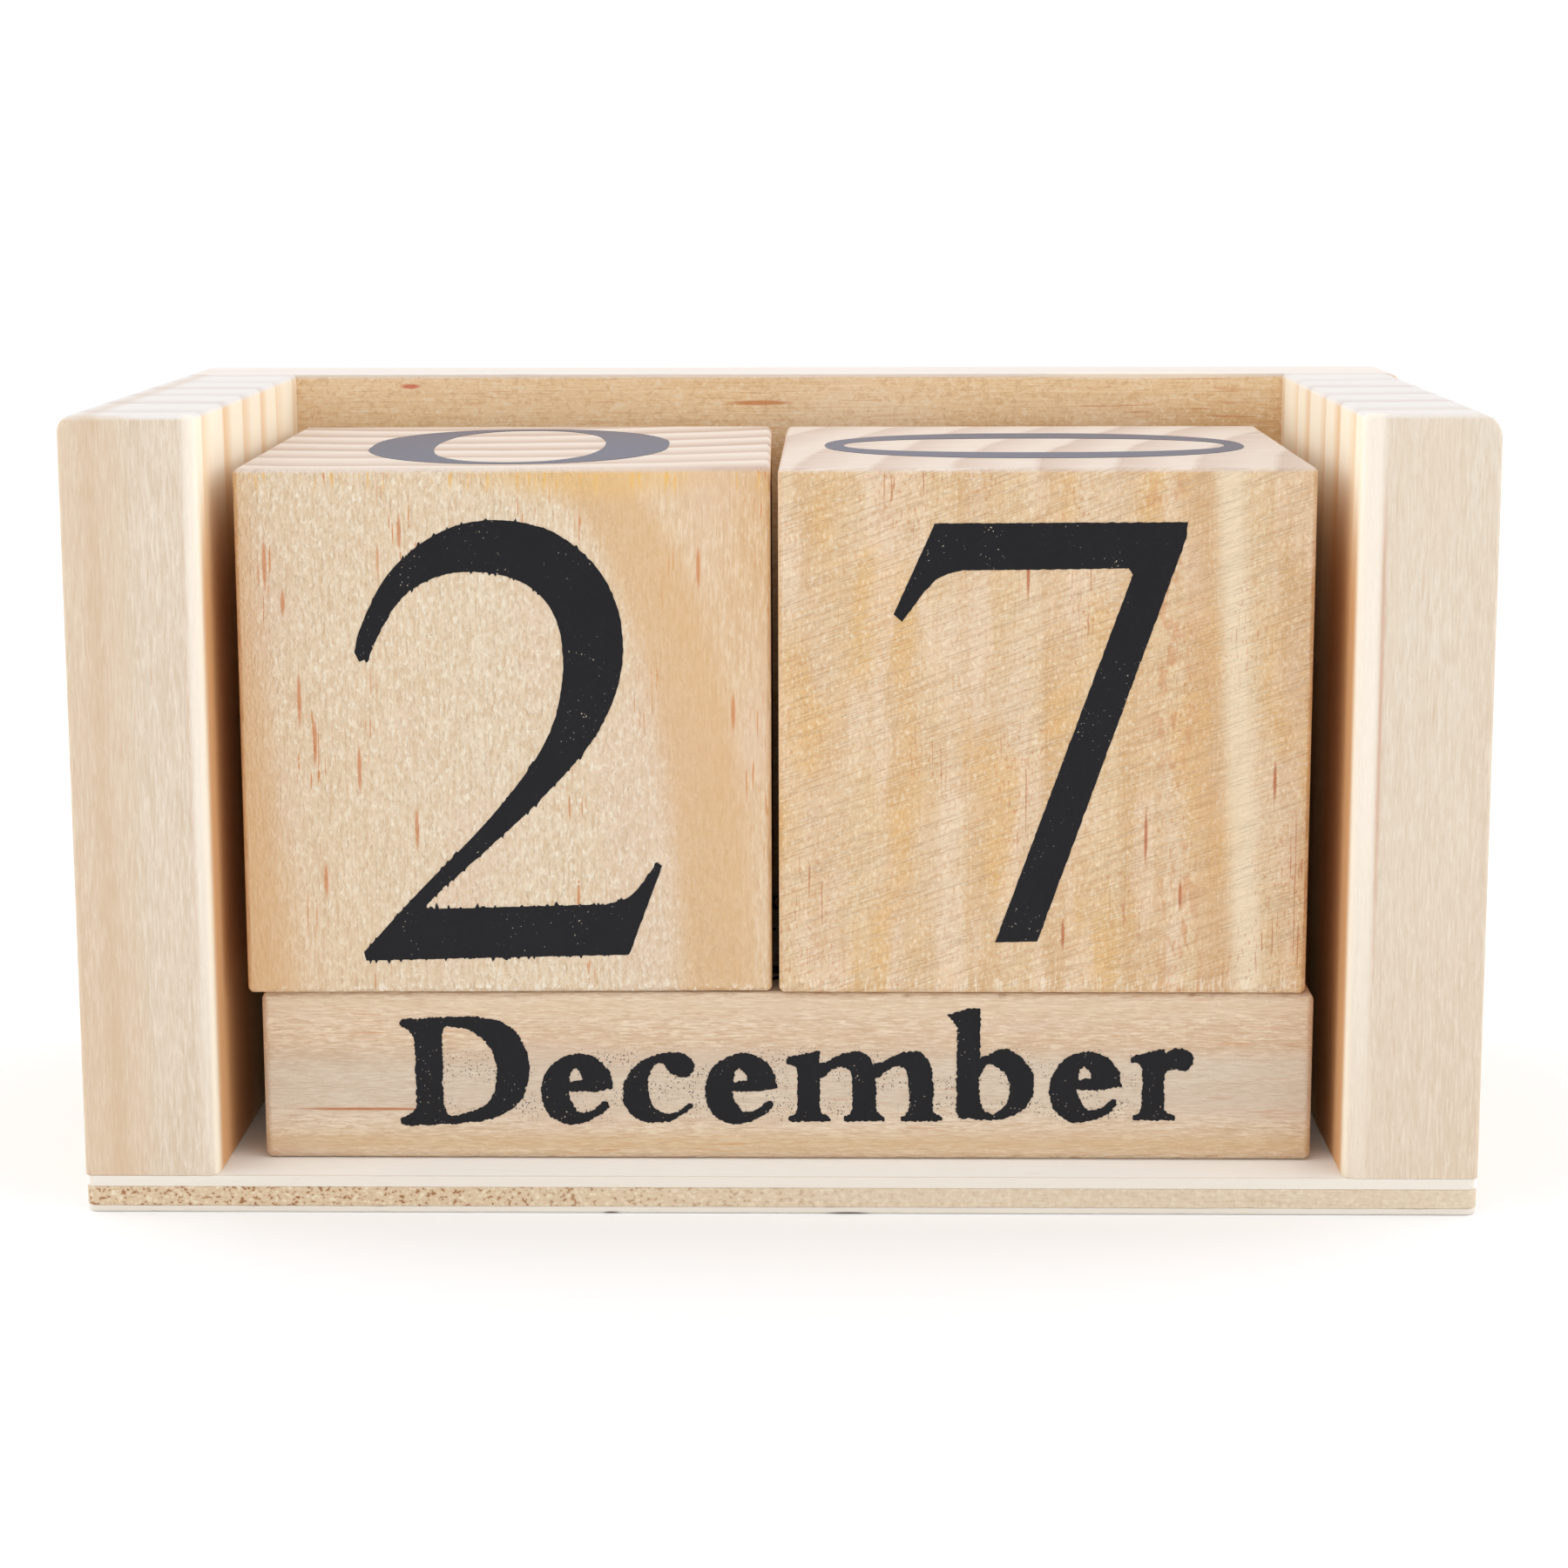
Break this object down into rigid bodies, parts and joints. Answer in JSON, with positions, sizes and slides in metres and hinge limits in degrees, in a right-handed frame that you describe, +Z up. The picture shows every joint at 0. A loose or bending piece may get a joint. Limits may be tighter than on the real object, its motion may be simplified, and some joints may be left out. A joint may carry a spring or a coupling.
{
  "type": "block desk calendar",
  "caption": "Perpetual block calendar: open wooden tray with loose number cubes standing on loose square month bars.",
  "frame": {"origin": "middle of the underside of the base", "axes": "+X to the right along the front, +Y from the open front to the back, +Z up"},
  "size_m": [0.1316, 0.072, 0.0754],
  "materials": {
    "side_pine": "sanded bare pine, growth lines on edge",
    "back_pine": "sanded bare pine, long grain",
    "cube_pine": "sawn bare pine with faint saw marks",
    "bar_pine": "sawn bare pine, long grain",
    "ply_face": "pale sanded veneer",
    "ply_core": "brown porous veneer, seen on edge",
    "brad_steel": "plain bright steel",
    "ink": "matte black printing ink, a thin film"
  },
  "bodies": {
    "case": {"base_lower_ply": "ply_face", "base_core_ply": "ply_core", "base_face_ply": "ply_face", "left_side": "side_pine", "right_side": "side_pine", "back_panel": "back_pine", "base_brads_left": "brad_steel", "base_brads_right": "brad_steel", "base_brads_rear": "brad_steel", "back_brads_left": "brad_steel", "back_brads_right": "brad_steel"},
    "tens_cube": {"tens_cube": "cube_pine"},
    "units_cube": {"units_cube": "cube_pine"},
    "front_month_bar": {"front_month_bar": "bar_pine"},
    "middle_month_bar": {"middle_month_bar": "bar_pine"},
    "rear_month_bar": {"rear_month_bar": "bar_pine"}
  },
  "joints": [
    {"name": "tens_cube_lift", "type": "slide", "parent": "case", "child": "tens_cube", "axis": [0, 0, 1], "range_m": [0, 0.056]},
    {"name": "units_cube_lift", "type": "slide", "parent": "case", "child": "units_cube", "axis": [0, 0, 1], "range_m": [0, 0.056]},
    {"name": "front_month_bar_draw", "type": "slide", "parent": "case", "child": "front_month_bar", "axis": [0, -1, 0], "range_m": [0, 0.054]},
    {"name": "middle_month_bar_draw", "type": "slide", "parent": "case", "child": "middle_month_bar", "axis": [0, -1, 0], "range_m": [0, 0.036]},
    {"name": "rear_month_bar_draw", "type": "slide", "parent": "case", "child": "rear_month_bar", "axis": [0, -1, 0], "range_m": [0, 0.018]}
  ],
  "couplings": [
    {"joint": "middle_month_bar_draw", "follows": "front_month_bar_draw", "ratio": 0.6666},
    {"joint": "rear_month_bar_draw", "follows": "front_month_bar_draw", "ratio": 0.3333}
  ]
}
